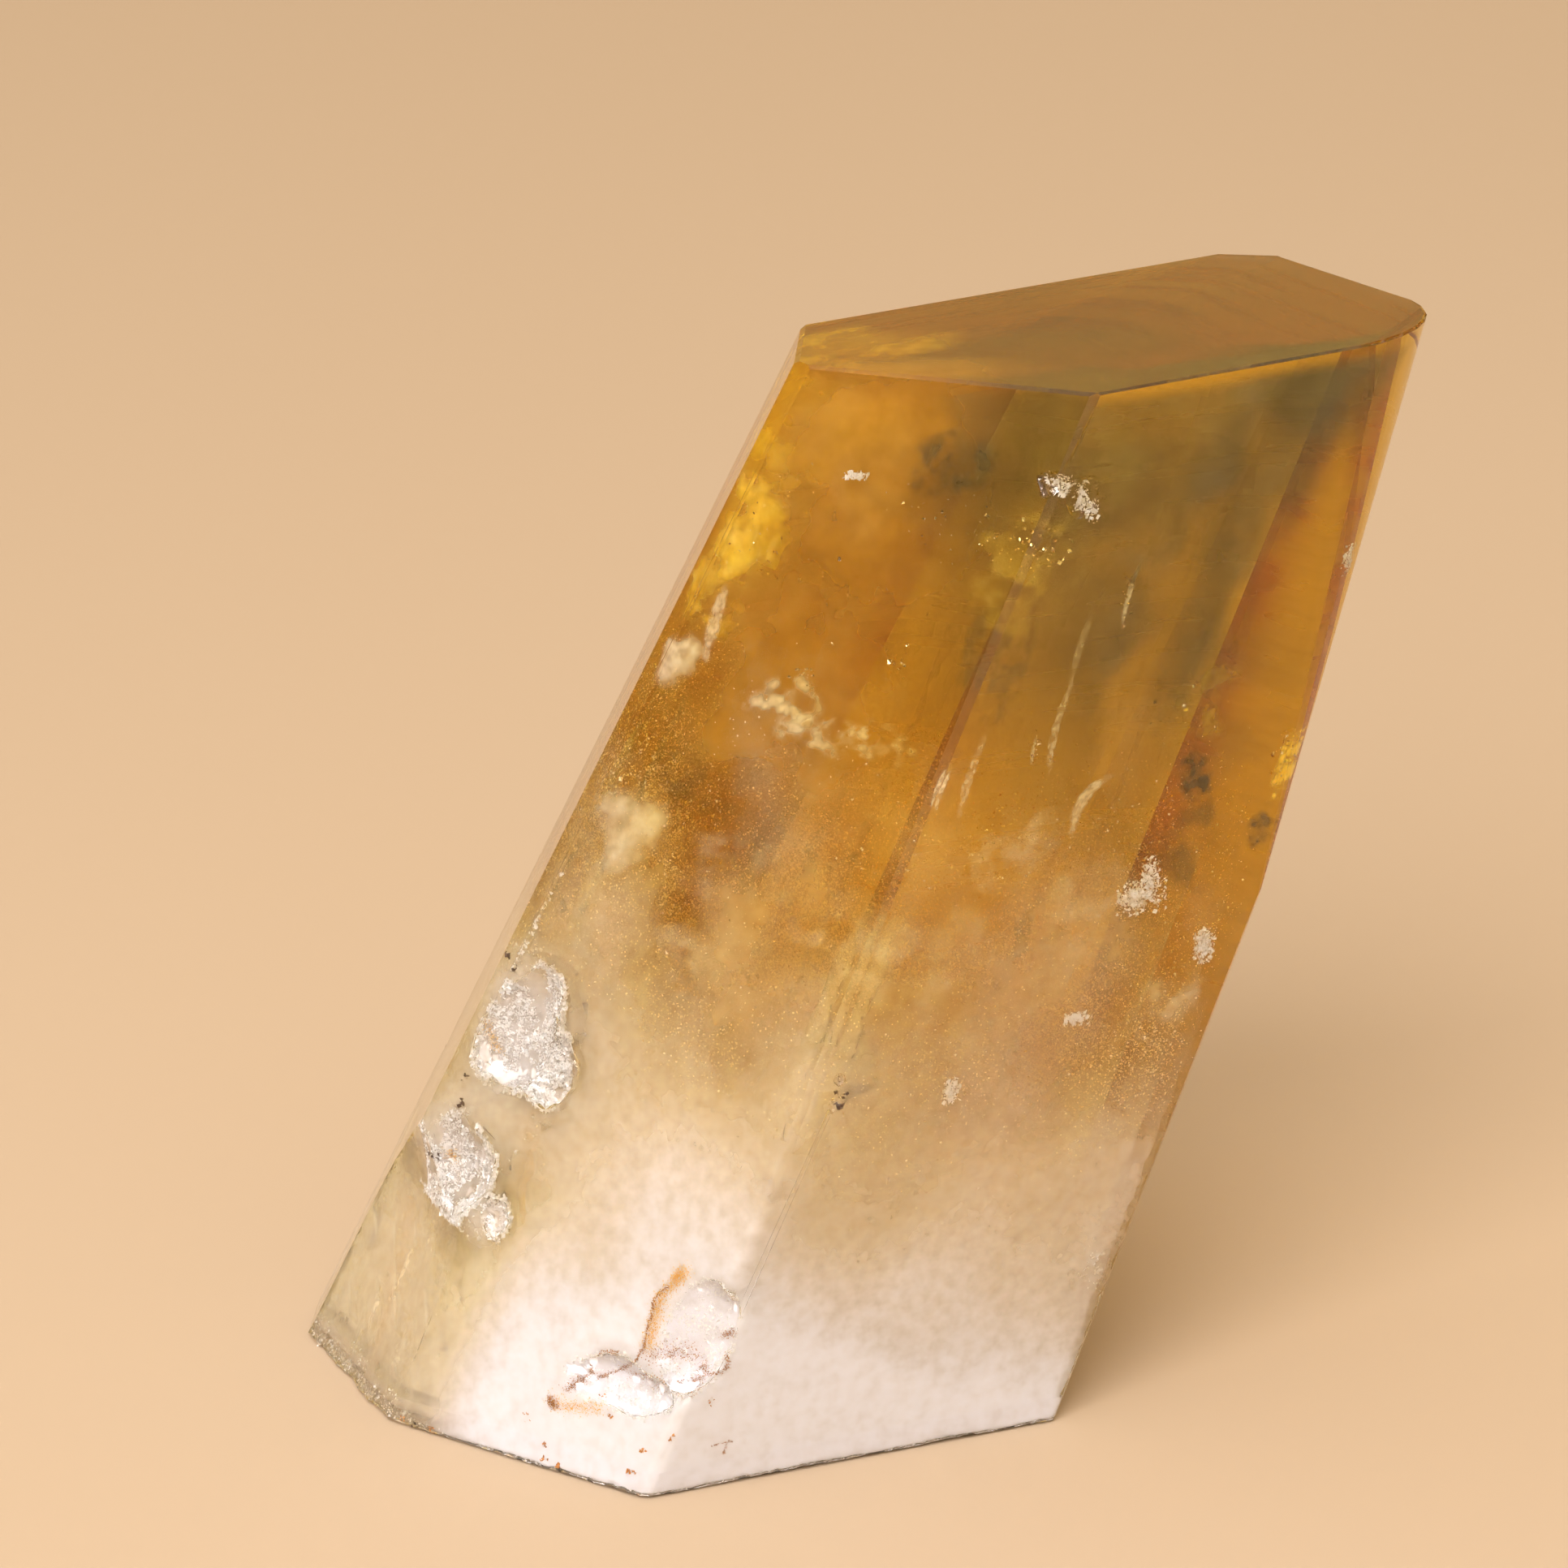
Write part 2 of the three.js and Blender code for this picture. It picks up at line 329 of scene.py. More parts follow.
place = node(tree, "ShaderNodeTexCoord").outputs["Object"]
along = node(
    tree, "ShaderNodeMapping", Vector=place, Rotation=(0, 0, math.radians(-12)), Scale=(40, 2600, 40)
).outputs["Vector"]
lines = node(tree, "ShaderNodeTexNoise", Vector=along, Scale=1.0, Detail=1.0, Roughness=0.7).outputs["Fac"]
on_top = node(tree, "ShaderNodeAttribute", {"attribute_name": "ground"}).outputs["Fac"]
scratch = node(tree, "ShaderNodeMath", {"operation": "MULTIPLY"}, _0=lines, _1=on_top).outputs["Value"]
bloom = node(tree, "ShaderNodeTexNoise", Vector=place, Scale=70.0, Detail=2.0, Roughness=0.6).outputs["Fac"]
polish = node(
    tree, "ShaderNodeMapRange", Value=bloom, From_Min=0.3, From_Max=0.8, To_Min=0.0, To_Max=0.05
).outputs["Result"]
top_matt = node(
    tree, "ShaderNodeMath", {"operation": "MULTIPLY_ADD"}, _0=scratch, _1=TOP_MATT, _2=polish
).outputs["Value"]
is_broken = node(tree, "ShaderNodeAttribute", {"attribute_name": "broken"}).outputs["Fac"]
broken_matt = node(
    tree, "ShaderNodeMath", {"operation": "MULTIPLY_ADD"}, _0=is_broken, _1=BROKEN_MATT, _2=top_matt
).outputs["Value"]
level = node(tree, "ShaderNodeMapping", Vector=place, Scale=(25, 25, 420)).outputs["Vector"]
growth = node(tree, "ShaderNodeTexNoise", Vector=level, Scale=1.0, Detail=2.0, Roughness=0.6).outputs["Fac"]
is_grown = node(tree, "ShaderNodeAttribute", {"attribute_name": "grown"}).outputs["Fac"]
growth_matt = node(tree, "ShaderNodeMath", {"operation": "MULTIPLY"}, _0=is_grown, _1=growth).outputs["Value"]
matt = node(
    tree, "ShaderNodeMath", {"operation": "MULTIPLY_ADD"}, _0=growth_matt, _1=GROWN_MATT, _2=broken_matt
).outputs["Value"]
print("roughness nodes:", len(tree.nodes))

# %% Clear and yellow
QUARTZ_IOR = 1.544
ABSORB_PER_METRE = 100
ABSORB_COLOUR = (0.948, 0.848, 0.10, 1)

glass = node(
    tree,
    "ShaderNodeBsdfPrincipled",
    Base_Color=(1, 1, 1, 1),
    Metallic=0.0,
    Roughness=matt,
    IOR=QUARTZ_IOR,
    Transmission_Weight=1.0,
)
colour = node(tree, "ShaderNodeVolumeAbsorption", Color=ABSORB_COLOUR, Density=ABSORB_PER_METRE)
tree.links.new(glass.outputs["BSDF"], output.inputs["Surface"])
tree.links.new(colour.outputs["Volume"], output.inputs["Volume"])
body_mesh.materials.clear()
body_mesh.materials.append(citrine)
print("material:", citrine.name)

# %% [markdown]
# ## One mottle for all that lies inside
# Milk, plates, cracks, veils and rust each have two tones that are mottled together by a fine noise,
# and their gloss goes with the tone. One node group makes that mottle, and each material places it
# with its own tones and values. A thin cloud also needs to know how much it covers: the group turns
# the thickness of a cloud into its opacity, and lets a thin cloud have a tone of its own.

# %% The mottle node group
MOTTLE_INPUTS = {
    "Scale": ("NodeSocketFloat", 700.0),
    "Light": ("NodeSocketColor", (1, 1, 1, 1)),
    "Dark": ("NodeSocketColor", (1, 1, 1, 1)),
    "Thin": ("NodeSocketColor", (1, 1, 1, 1)),
    "Smooth": ("NodeSocketFloat", 0.3),
    "Dull": ("NodeSocketFloat", 0.6),
    "Cover": ("NodeSocketFloat", 9.0),
    "Grain": ("NodeSocketFloat", 0.0),
}
mottle_group = bpy.data.node_groups.new("mottle", "ShaderNodeTree")
for name, (kind, value) in MOTTLE_INPUTS.items():
    mottle_group.interface.new_socket(name, in_out="INPUT", socket_type=kind).default_value = value
MOTTLE_OUTPUTS = {"Color": "NodeSocketColor", "Roughness": "NodeSocketFloat", "Alpha": "NodeSocketFloat"}
for name, kind in MOTTLE_OUTPUTS.items():
    mottle_group.interface.new_socket(name, in_out="OUTPUT", socket_type=kind)
print("mottle inputs:", ", ".join(MOTTLE_INPUTS))

# %% Inside the mottle
tree = mottle_group
given = node(tree, "NodeGroupInput").outputs
place = node(tree, "ShaderNodeTexCoord").outputs["Object"]
fine = node(tree, "ShaderNodeTexNoise", Vector=place, Scale=given["Scale"], Detail=2.0).outputs["Fac"]
spread = node(tree, "ShaderNodeMapRange", Value=fine, From_Min=0.3, From_Max=0.7).outputs["Result"]
more = node(tree, "ShaderNodeMapRange", Value=spread, To_Min=1.0, To_Max=-1.0).outputs["Result"]
uneven = node(
    tree, "ShaderNodeMath", {"operation": "MULTIPLY_ADD"}, _0=more, _1=given["Grain"], _2=1.0
).outputs["Value"]
loss = node(tree, "ShaderNodeMath", {"operation": "MULTIPLY"}, _0=given["Cover"], _1=uneven).outputs["Value"]
minus = node(tree, "ShaderNodeMath", {"operation": "MULTIPLY"}, _0=loss, _1=-1.0).outputs["Value"]
left = node(tree, "ShaderNodeMath", {"operation": "EXPONENT"}, _0=minus).outputs["Value"]
opaque = node(tree, "ShaderNodeMath", {"operation": "SUBTRACT"}, _0=1.0, _1=left).outputs["Value"]
tones = node(
    tree, "ShaderNodeMix", {"data_type": "RGBA"}, _0=spread, _6=given["Light"], _7=given["Dark"]
).outputs[2]
tone = node(tree, "ShaderNodeMix", {"data_type": "RGBA"}, _0=opaque, _6=given["Thin"], _7=tones).outputs[2]
gloss = node(
    tree, "ShaderNodeMapRange", Value=spread, To_Min=given["Smooth"], To_Max=given["Dull"]
).outputs["Result"]
node(tree, "NodeGroupOutput", Color=tone, Roughness=gloss, Alpha=opaque)
print("mottle nodes:", len(mottle_group.nodes))


# %% A material with the mottle
def mottled(name, light, dark, rough, scale, cloud=None, **values):
    """A material in two mottled tones. A cloud gives its thin tone and its grain, and covers as much
    as its mesh says."""
    material, tree, output = new_material(name)
    mottle = node(
        tree,
        "ShaderNodeGroup",
        {"node_tree": mottle_group},
        Light=light,
        Dark=dark,
        Smooth=rough[0],
        Dull=rough[1],
        Scale=scale,
    )
    shader = node(
        tree,
        "ShaderNodeBsdfPrincipled",
        Base_Color=mottle.outputs["Color"],
        Roughness=mottle.outputs["Roughness"],
        **values,
    )
    if cloud:
        mottle.inputs["Thin"].default_value, mottle.inputs["Grain"].default_value = cloud
        thick = node(tree, "ShaderNodeAttribute", {"attribute_name": "cover"}).outputs["Fac"]
        tree.links.new(thick, mottle.inputs["Cover"])
        tree.links.new(mottle.outputs["Alpha"], shader.inputs["Alpha"])
    tree.links.new(shader.outputs["BSDF"], output.inputs["Surface"])
    print("material:", name)
    return material


# %% [markdown]
# ## Where things are seen
# Each inclusion is placed by the spot of the photograph where it is seen and by its depth below the
# face. The ray bends as it enters the crystal, by Snell's law, and the inclusion sits on the bent
# ray. That way it shows up at the right spot although it lies deep inside.

# %% Spots on and behind the faces
CRYSTAL_MIDDLE = (1000, 1200)
LOOK_OUT = (Vector((0.31, 0.12, 0.94)).normalized(), Vector((-0.22, 0.93, 0.29)).normalized())


def spot_on_face(u, v):
    """Where the ray through a spot of the photograph meets the crystal: the place and the normal.
    A spot just beside the crystal is moved towards its middle."""
    for share in np.linspace(0, 0.3, 31):
        beside = [old + share * (middle - old) for old, middle in zip((u, v), CRYSTAL_MIDDLE)]
        place, normal, _, _ = surface.ray_cast(CAMERA_PLACE, photo_ray(*beside))
        if place:
            return place, normal
    raise ValueError(f"nothing is seen at {u}, {v}")


def spot_inside(u, v, depth):
    """The place on the bent ray, so many millimetres behind the face, and the bent direction."""
    place, normal = spot_on_face(u, v)
    ray = photo_ray(u, v)
    facing = -ray.dot(normal)
    ratio = 1 / QUARTZ_IOR
    bent = ray * ratio + normal * (ratio * facing - math.sqrt(1 - ratio**2 * (1 - facing**2)))
    return place + bent.normalized() * (depth * MM), bent.normalized()


def depth_below(point):
    """How deep a point lies inside the crystal, negative where it is outside."""
    over = (large_normals @ np.array(point) - large_distances).max()
    if over > 0:
        return -over
    place, normal, _, distance = surface.find_nearest(point)
    votes = [(Vector(point) - place).dot(normal) < 0]
    for towards in LOOK_OUT:
        hit, hit_normal, _, _ = surface.ray_cast(point, towards)
        votes.append(bool(hit) and hit_normal.dot(towards) > 0)
    return distance if sum(votes) > 1 else -distance


print("front corner:", [round(c / MM, 1) for c in spot_on_face(1000, 1340)[0]])

# %% [markdown]
# ## How milky each place is
# The white of the foot is a cloud of tiny bubbles and cracks. It is thick at the bottom, ends in a
# ragged top that is lower at the right, and thins out into a grainy haze that climbs to the middle
# of the crystal. One rule tells how milky any place is, and everything white follows that rule. The
# scars are white too, because the quartz under a blow is crushed.

# %% The milk rule
MILK_TOP = 53.0
MILK_FALL = 0.28
MILK_FALL_START = -14.0
MILK_THICK = 6.0
MILK_START = 0.035
HAZE_THICK = 0.10
HAZE_FADE = 15.0
MILK_GROWTH = 7.5
# The long break at the lower left is clearer than the rest: its plane and its share of the milk
SPLINTER_NORMAL = np.array([-0.858, -0.368, 0.358])
SPLINTER_DISTANCE = 45.5
SPLINTER_MILK = 0.06
SPLINTER_TOP = (23.0, 31.0)
# Scars: spot in the photograph, depth in mm, size in mm, strength per mm
SCARS = [
    (655, 1250, 0.8, 5.0, 1.0),
    (640, 1320, 0.8, 3.6, 0.8),
    (548, 1432, 0.8, 5.0, 1.1),
    (598, 1500, 0.6, 2.4, 0.7),
]
scar_places = [(spot_inside(u, v, deep)[0], size * MM, force) for u, v, deep, size, force in SCARS]


def milk_top(points):
    """How high the white reaches at each point, in mm."""
    points = np.asarray(points)
    fall = MILK_FALL * np.maximum(0, points[:, 0] / MM - MILK_FALL_START)
    return MILK_TOP - fall + 26 * (cloud_noise(points, 15 * MM, 3) - 0.5)


def milk_at(points):
    """How much white there is at each point, per millimetre of depth."""
    points = np.asarray(points)
    below = milk_top(points) - points[:, 2] / MM
    total = np.minimum(MILK_THICK, MILK_START * np.exp(below / MILK_GROWTH)) * smooth_step(-12, 2, below)
    wisps = smooth_step(0.36, 0.68, cloud_noise(points * np.array([1, 1, 0.6]), 8 * MM, 4))
    total = total + HAZE_THICK * np.exp(np.minimum(below, 0) / HAZE_FADE) * wisps
    splinter = SPLINTER_DISTANCE - points @ SPLINTER_NORMAL / MM
    milky = np.maximum(smooth_step(2.0, 6.0, splinter), smooth_step(*SPLINTER_TOP, points[:, 2] / MM))
    total = total * (SPLINTER_MILK + (1 - SPLINTER_MILK) * milky)
    for place, size, force in scar_places:
        far = np.linalg.norm(points - np.array(place), axis=1) / size
        total = total + force * np.exp(-(far**3))
    return total


print("milk at the foot and the top:", milk_at(np.array([[0, -0.02, 0.005], [0.02, 0, 0.1]])))

# %% [markdown]
# ## The milk
# A cloud inside a clear body can be made as a scattering volume, but that is slow and noisy. Here it
# is a nest of thin white sheets, each a little deeper than the last. Every sheet covers as much as
# the milk between it and the next one would. Seen through one another they read as one cloud with
# depth. The sheets start as an evenly meshed copy of the solid, and each vertex is moved inwards
# until it has the right distance from the nearest face.

# %% Sheets at growing depth
# Depth, mesh step and top in mm: a fine one at the rim of the foot, then four coarser ones
RIM_SHEET = (0.12, 0.5, 3.2)
SHEETS = [(0.2, 1.3, 120), (0.9, 1.6, 120), (2.6, 2.0, 120), (6.5, 2.2, 120)]
RIM_GAP = 0.5
DEEPEST = 10.0
MILK_LEAST = 0.03


def even_copy(step):
    """The vertices and faces of a copy of the solid that is meshed evenly in steps of so many mm."""
    even = bpy.data.objects.new("even", cad.data.copy())
    bpy.context.collection.objects.link(even)
    remesh = even.modifiers.new("remesh", "REMESH")
    remesh.mode = "VOXEL"
    remesh.voxel_size = step * MM
    mesh = bpy.data.meshes.new_from_object(even.evaluated_get(bpy.context.evaluated_depsgraph_get()))
    bpy.data.objects.remove(even)
    return [v.co.copy() for v in mesh.vertices], [tuple(p.vertices) for p in mesh.polygons]


def move_to_depth(place, depth):
    """Moves a place inwards until its nearest face is the given distance away."""
    for _ in range(6):
        near, normal, _, distance = surface.find_nearest(place)
        inside = (place - near).dot(normal) < 0
        if inside and abs(distance - depth) < 0.02 * depth:
            break
        away = (place - near).normalized() if inside and distance > 0.05 * MM else -normal
        place = near + away * depth
    return place


def sheet_parts(depth, step, top, gap):
    """The vertices, faces and cover of the sheet at one depth, only where there is milk."""
    even_places, even_faces = even_copy(step)
    low = np.array([place.z for place in even_places]) < top * MM
    even_faces = [f for f in even_faces if all(low[i] for i in f)]
    places = np.array([move_to_depth(p, depth * MM) if under else p for p, under in zip(even_places, low)])
    milk = milk_at(places)
    sound = [under and depth_below(p) > 0.6 * depth * MM for p, under in zip(places, low)]
    faces = [f for f in even_faces if max(milk[i] for i in f) * gap > MILK_LEAST and all(sound[i] for i in f)]
    used = sorted({i for f in faces for i in f})
    renumber = {old: new for new, old in enumerate(used)}
    return places[used], [tuple(renumber[i] for i in f) for f in faces], milk[used] * gap


print("sheets:", 1 + len(SHEETS))

# %% All the sheets together
depths = [sheet[0] for sheet in SHEETS]
edges = [0] + [(a + b) / 2 for a, b in zip(depths, depths[1:])] + [DEEPEST]
gaps = [RIM_GAP] + [high - low for low, high in zip(edges, edges[1:])]
vertices, faces, cover = [], [], []
for sheet, gap in zip([RIM_SHEET, *SHEETS], gaps):
    part_places, part_faces, part_cover = sheet_parts(*sheet, gap)
    faces += [tuple(i + len(vertices) for i in f) for f in part_faces]
    vertices += part_places.tolist()
    cover += part_cover.tolist()
    print("sheet at", sheet[0], "mm:", len(part_faces), "faces")


# %% A helper for pieces
low, high = np.array(cad_box)
BOX_MARGIN = 0.02 * MM


def add_piece(name, vertices, faces, material, smooth=True, **attributes):
    """Makes one piece inside the box of the solid and tells the frame that it belongs to it."""
    mesh = bpy.data.meshes.new(name)
    mesh.from_pydata(np.clip(vertices, low + BOX_MARGIN, high - BOX_MARGIN), [], faces)
    for key, values in attributes.items():
        mesh.attributes.new(key, "FLOAT", "POINT").data.foreach_set("value", np.asarray(values, dtype=float))
    if smooth:
        mesh.shade_smooth()
    mesh.materials.append(material)
    piece = bpy.data.objects.new(name, mesh)
    bpy.context.collection.objects.link(piece)
    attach(piece, "root")
    print(name + ":", len(mesh.polygons), "faces")
    return piece


# %% The milk's material
milk = mottled(
    "milk_white",
    light=(0.94, 0.935, 1.0, 1),
    dark=(0.94, 0.925, 0.97, 1),
    rough=(0.7, 0.9),
    scale=650.0,
    cloud=((1.0, 0.85, 0.70, 1), 0.28),
    Specular_IOR_Level=0.0,
)
milk_cloud = add_piece("milk_cloud", vertices, faces, milk, cover=cover)

# %% [markdown]
# ## The grainy haze
# Above the milk the crystal is full of tiny bubbles and crack plates that each catch the light. They
# are real, separate specks, so they are made as geometry: flat little plates of four faces, all in
# one mesh. Points are thrown evenly into the crystal's box with a fixed seed. A point is kept more
# often where the haze is thick, and only if the whole plate fits inside.

# %% Plates from points
def plates(points, sizes, flatness, seed):
    """Flat four-faced plates at the points, turned at random with a fixed seed."""
    chance = np.random.default_rng(seed)
    corners = np.array([[1, 1, 1], [1, -1, -1], [-1, 1, -1], [-1, -1, 1]]) / math.sqrt(3)
    axes = np.linalg.qr(chance.normal(size=(len(points), 3, 3)))[0]
    long, wide = np.ones(len(points)), 0.4 + 0.6 * chance.random(len(points))
    stretch = np.stack([long, wide, np.full(len(points), flatness)], 1)
    local = corners[None] * stretch[:, None] * np.asarray(sizes)[:, None, None]
    vertices = (local @ axes + np.asarray(points)[:, None]).reshape(-1, 3)
    pattern = np.array([[0, 1, 2], [0, 3, 1], [0, 2, 3], [1, 3, 2]])
    faces = (np.arange(len(points))[:, None, None] * 4 + pattern).reshape(-1, 3)
    return vertices, faces


def fits_inside(points, room):
    """Which points are farther than the given room below every face."""
    return np.array([depth_below(point) > space for point, space in zip(points, room)], dtype=bool)


print("one plate:", len(plates([(0, 0, 0)], [MM], 0.3, 1)[1]), "faces")

# %% Haze of plates
HAZE_TRIES = 5000000
HAZE_REACH = 42.0
PLATE_SIZE = (0.05 * MM, 0.22 * MM)
PLATES_A_PIECE = 45000


def haze_at(points):
    """The share of plates to keep at each point: most at the milk's top, none at the crystal's top."""
    over = points[:, 2] / MM - milk_top(points)
    wisps = cloud_noise(points * np.array([1, 1, 0.5]), 9 * MM, 4)
    rising = smooth_step(-18, -4, over) * (1 - smooth_step(-8, HAZE_REACH, over)) ** 2.4
    return rising * (0.10 + 0.90 * smooth_step(0.40, 0.72, wisps))


chance = np.random.default_rng(11)
tries = low + chance.random((HAZE_TRIES, 3)) * (high - low) * np.array([1, 1, 0.85])
tries = tries[(tries @ large_normals.T - large_distances).max(axis=1) < -0.3 * MM]
tries = tries[chance.random(len(tries)) < haze_at(tries)]
sizes = PLATE_SIZE[0] + (PLATE_SIZE[1] - PLATE_SIZE[0]) * chance.random(len(tries)) ** 3
kept = fits_inside(tries, sizes + 0.1 * MM)
plate_places, plate_sizes = tries[kept], sizes[kept]
print("plates:", len(plate_places), "mean height:", plate_places[:, 2].mean() / MM)

# %% The plates' material
plate_haze = mottled(
    "plate_haze", (1.0, 0.90, 0.74, 1), (0.95, 0.78, 0.54, 1), rough=(0.15, 0.7), scale=900.0, IOR=1.6
)
for number, start in enumerate(range(0, len(plate_places), PLATES_A_PIECE)):
    some = slice(start, start + PLATES_A_PIECE)
    vertices, faces = plates(plate_places[some], plate_sizes[some], 0.3, 12 + number)
    add_piece(f"haze_plates_{number + 1}", vertices, faces, plate_haze, smooth=False)

# %% [markdown]
# ## Crushed spots and sparkles
# A blow leaves a nest of tiny cracks. Under each scar, and at a few spots inside, the quartz is
# crushed to white plates. Elsewhere single crack plates lie at just the right angle and flash like
# mirrors. Both are clusters of plates: a place, a depth, a size and a number.

# %% Clusters of plates
def cluster(chance, u, v, depth, width, height, count):
    """Points in a loose cloud behind one spot of the photograph, sizes in mm."""
    middle, _ = spot_inside(u, v, depth)
    spread = np.array([width, min(width, height), height]) * MM / 2
    return np.array(middle) + np.clip(chance.normal(scale=0.5, size=(count, 3)), -1, 1) * spread


def clusters_piece(name, spots, size, flatness, material, seed):
    """One piece made of all the clusters in a list."""
    chance = np.random.default_rng(seed)
    points = np.concatenate([cluster(chance, *spot) for spot in spots])
    sizes = (size[0] + (size[1] - size[0]) * chance.random(len(points)) ** 2) * MM
    kept = fits_inside(points, 0.7 * sizes)
    vertices, faces = plates(points[kept], sizes[kept], flatness, seed + 1)
    return add_piece(name, vertices, faces, material, smooth=False)


plate_white = mottled(
    "plate_white", (1.0, 1.0, 1.0, 1), (0.97, 0.94, 0.92, 1), rough=(0.1, 0.5), scale=900.0, IOR=1.6
)

# %% Crushed spots
# Spot in the photograph, depth, width and height in mm, number of plates
CRUSHED = [
    (650, 1235, 1.2, 8.0, 11.0, 1500),
    (640, 1320, 1.0, 6.0, 7.0, 900),
    (552, 1425, 1.2, 8.0, 10.0, 1600),
    (597, 1500, 0.8, 4.0, 4.0, 350),
    (1302, 596, 0.7, 2.8, 2.0, 150),
    (1332, 612, 0.7, 1.6, 3.4, 160),
    (1346, 632, 0.7, 1.4, 2.4, 90),
    (1662, 690, 0.6, 1.8, 3.2, 260),
    (1406, 1106, 0.7, 5.0, 3.6, 900),
    (1418, 1078, 0.7, 1.8, 3.8, 320),
    (1484, 1166, 0.6, 2.2, 3.6, 700),
    (1328, 1255, 0.6, 2.8, 1.4, 300),
    (1172, 1345, 0.6, 1.8, 2.8, 320),
    (1054, 586, 1.0, 2.8, 0.7, 170),
    (1345, 1550, 0.9, 2.4, 7.0, 520),
]
crushed = clusters_piece("crushed_plates", CRUSHED, (0.08, 0.45), 0.22, plate_white, 21)

# %% [markdown]
# Right under a broken surface the white is thickest. Points are spread evenly over the broken faces
# of the scars, the hollow and the rim of the foot, and pushed a little way in.

# %% Points under broken faces
PATCH_SIZE = 2.2 * MM


def under_faces(some_faces, count, deepest, patch, seed):
    """Points spread evenly over the faces, at most so many mm below them, only in patches."""
    chance = np.random.default_rng(seed)
    areas = np.array([face.calc_area() for face in some_faces])
    picks = chance.choice(len(some_faces), count, p=areas / areas.sum())
    corners = np.array([[v.co for v in face.verts[:3]] for face in some_faces])[picks]
    inwards = -np.array([face.normal for face in some_faces])[picks]
    push = (0.06 + deepest * chance.random(count) ** 2) * MM
    points = np.einsum("ij,ijk->ik", chance.dirichlet((1, 1, 1), count), corners) + inwards * push[:, None]
    return points[cloud_noise(points, PATCH_SIZE, 3) > patch]


def under_piece(name, some_faces, count, deepest, patch, size, seed):
    """White plates under broken faces, as one piece."""
    points = under_faces(some_faces, count, deepest, patch, seed)
    sizes = (size[0] + (size[1] - size[0]) * np.random.default_rng(seed + 1).random(len(points)) ** 2) * MM
    kept = fits_inside(points, 0.35 * sizes)
    vertices, faces = plates(points[kept], sizes[kept], 0.22, seed + 2)
    return add_piece(name, vertices, faces, plate_white, smooth=False)


broken = [face for face in shape.faces if face[frost_layer]]
print("broken faces:", len(broken))

# %% White under the scars, the hollow and the rim
SCAR_REACH = 7.5 * MM
SCAR_FOOT = 20.5 * MM
HOLLOW_SPOTS = [(850, 1620), (870, 1680), (760, 1700), (700, 1720)]
HOLLOW_REACH = 7.0 * MM
RIM_HEIGHT = 3.0 * MM

hollow_places = [spot_on_face(*spot)[0] for spot in HOLLOW_SPOTS]


def nearest_of(face, places):
    """The distance from a face to the nearest of some places."""
    return min((face.calc_center_median() - place).length for place in places)


scar_faces = [
    face
    for face in broken
    if nearest_of(face, [place for place, _, _ in scar_places]) < SCAR_REACH
    and face.calc_center_median().z > SCAR_FOOT
]
hollow_faces = [f for f in broken if nearest_of(f, hollow_places) < HOLLOW_REACH]
rim_faces = [f for f in broken if f.calc_center_median().z < RIM_HEIGHT]
print("broken faces of scars, hollow, rim:", len(scar_faces), len(hollow_faces), len(rim_faces))

scar_white = under_piece("scar_plates", scar_faces, 34000, 0.6, 0.36, (0.12, 0.55), 51)
hollow_white = under_piece("hollow_plates", hollow_faces, 9000, 0.5, 0.42, (0.10, 0.40), 54)
rim_white = under_piece("rim_plates", rim_faces, 6000, 0.5, 0.0, (0.12, 0.35), 57)

# %% [markdown]
# Sparkles are the few plates that flash. They are smaller in number and shine like metal, because the
# thin gap of air in a crack throws back nearly all the light at a low angle.

# %% Sparkles
SPARKLES = [
    (1245, 670, 5.0, 8.0, 6.0, 90),
    (1150, 640, 7.0, 14.0, 8.0, 70),
    (990, 835, 3.0, 3.0, 3.0, 26),
    (1105, 815, 3.0, 2.4, 3.6, 34),
    (1050, 700, 8.0, 22.0, 12.0, 90),
    (765, 940, 2.0, 6.0, 8.0, 40),
    (935, 650, 5.0, 7.0, 9.0, 60),
    (1000, 590, 5.0, 10.0, 4.0, 30),
    (1590, 935, 3.0, 3.0, 6.0, 60),
    (1455, 870, 6.0, 8.0, 8.0, 40),
    (1390, 735, 3.0, 1.4, 6.0, 40),
    (1275, 920, 3.0, 1.0, 3.4, 26),
    (900, 1150, 2.0, 24.0, 12.0, 120),
    (1250, 1350, 2.0, 18.0, 20.0, 130),
    (640, 1270, 0.7, 6.0, 12.0, 60),
    (550, 1430, 0.7, 6.0, 9.0, 50),
]
mirror = mottled(
    "crack_mirror", (1.0, 0.98, 0.92, 1), (0.95, 0.86, 0.66, 1), rough=(0.08, 0.4), scale=1500.0, Metallic=1.0
)
sparkles = clusters_piece("crack_sparkles", SPARKLES, (0.12, 0.42), 0.12, mirror, 31)

# %% [markdown]
# ## Veils, lens cracks and painted light and shade
# Healed cracks hang in the crystal like thin curtains: long wisps on the right, and two pale lens-shaped
# cracks near the left edge whose pale colour is partly painted reflection. The same curtains also carry
# painted light and shade: a bright golden painted glow above the lenses, and darker smoky painted shade. Each
# is a small curved grid whose cover fades out towards its rim and is torn by noise.

# %% A curved veil
VEIL_STEPS = (44, 34)
LARGEST_STEP = 0.9  # mm


